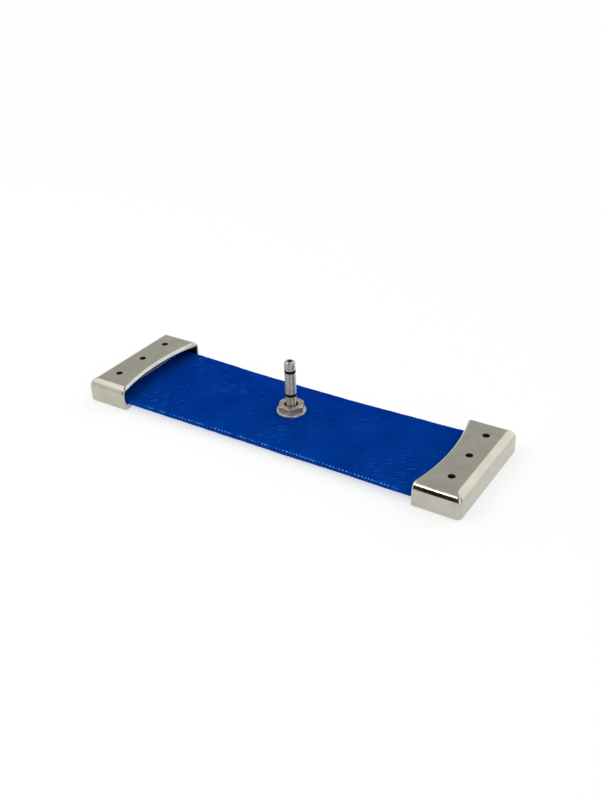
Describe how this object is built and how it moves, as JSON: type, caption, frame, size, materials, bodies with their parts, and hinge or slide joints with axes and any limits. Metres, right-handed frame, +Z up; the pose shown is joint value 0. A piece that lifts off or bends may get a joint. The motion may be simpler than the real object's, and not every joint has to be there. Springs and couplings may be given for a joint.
{
  "type": "flat hose bladder",
  "caption": "Flat blue hose bladder held shut by plated end clamps with set screws, with a hollow O-ring spigot through its middle for filling it.",
  "frame": {"origin": "on the surface the clamps stand on, on the stem's axis", "axes": "+X along the hose towards the right clamp, +Y across the hose towards its rear edge, +Z up along the stem"},
  "size_m": [0.302, 0.0914, 0.0512],
  "materials": {
    "plated_clamp": "polished nickel plate with a satin top",
    "bar_steel": "bright drawn",
    "screw_steel": "black oxide",
    "blue_hose": "glossy extruded cover over a woven core",
    "black_rubber": "matt moulded",
    "washer_steel": "zinc plated",
    "stem_steel": "fine turned",
    "nut_steel": "zinc plated, faintly iridescent"
  },
  "bodies": {
    "bladder": {"end_clamp_left": "plated_clamp", "end_clamp_right": "plated_clamp", "seal_strip_left": "black_rubber", "seal_strip_right": "black_rubber", "hose_sleeve": "blue_hose", "flange_gasket": "black_rubber", "backing_washer": "washer_steel", "inlet_stem": "stem_steel", "o_ring_lower": "black_rubber", "o_ring_upper": "black_rubber", "flat_washer": "washer_steel", "hex_nut": "nut_steel"},
    "bar_left": {"clamp_bar_left": "bar_steel"},
    "bar_right": {"clamp_bar_right": "bar_steel"},
    "screw_left_front": {"set_screw_left_front": "screw_steel"},
    "screw_left_middle": {"set_screw_left_middle": "screw_steel"},
    "screw_left_rear": {"set_screw_left_rear": "screw_steel"},
    "screw_right_front": {"set_screw_right_front": "screw_steel"},
    "screw_right_middle": {"set_screw_right_middle": "screw_steel"},
    "screw_right_rear": {"set_screw_right_rear": "screw_steel"}
  },
  "joints": [
    {"name": "bar_lift_left", "type": "slide", "parent": "bladder", "child": "bar_left", "axis": [0, 0, 1], "range_m": [0, 0.0016]},
    {"name": "screw_turn_left_front", "type": "hinge", "parent": "bar_left", "child": "screw_left_front", "pos_m": [-0.1357, -0.027, 0.0146], "axis": [0, 0, 1], "range_deg": [0, 720]},
    {"name": "screw_turn_left_middle", "type": "hinge", "parent": "bar_left", "child": "screw_left_middle", "pos_m": [-0.1357, 0, 0.0146], "axis": [0, 0, 1], "range_deg": [0, 720]},
    {"name": "screw_turn_left_rear", "type": "hinge", "parent": "bar_left", "child": "screw_left_rear", "pos_m": [-0.1357, 0.027, 0.0146], "axis": [0, 0, 1], "range_deg": [0, 720]},
    {"name": "bar_lift_right", "type": "slide", "parent": "bladder", "child": "bar_right", "axis": [0, 0, 1], "range_m": [0, 0.0016]},
    {"name": "screw_turn_right_front", "type": "hinge", "parent": "bar_right", "child": "screw_right_front", "pos_m": [0.1357, -0.027, 0.0146], "axis": [0, 0, 1], "range_deg": [0, 720]},
    {"name": "screw_turn_right_middle", "type": "hinge", "parent": "bar_right", "child": "screw_right_middle", "pos_m": [0.1357, 0, 0.0146], "axis": [0, 0, 1], "range_deg": [0, 720]},
    {"name": "screw_turn_right_rear", "type": "hinge", "parent": "bar_right", "child": "screw_right_rear", "pos_m": [0.1357, 0.027, 0.0146], "axis": [0, 0, 1], "range_deg": [0, 720]}
  ],
  "couplings": [
    {"joint": "screw_turn_left_front", "follows": "bar_lift_left", "rad_per_m": 7854},
    {"joint": "screw_turn_left_middle", "follows": "bar_lift_left", "rad_per_m": 7854},
    {"joint": "screw_turn_left_rear", "follows": "bar_lift_left", "rad_per_m": 7854},
    {"joint": "screw_turn_right_front", "follows": "bar_lift_right", "rad_per_m": 7854},
    {"joint": "screw_turn_right_middle", "follows": "bar_lift_right", "rad_per_m": 7854},
    {"joint": "screw_turn_right_rear", "follows": "bar_lift_right", "rad_per_m": 7854}
  ]
}
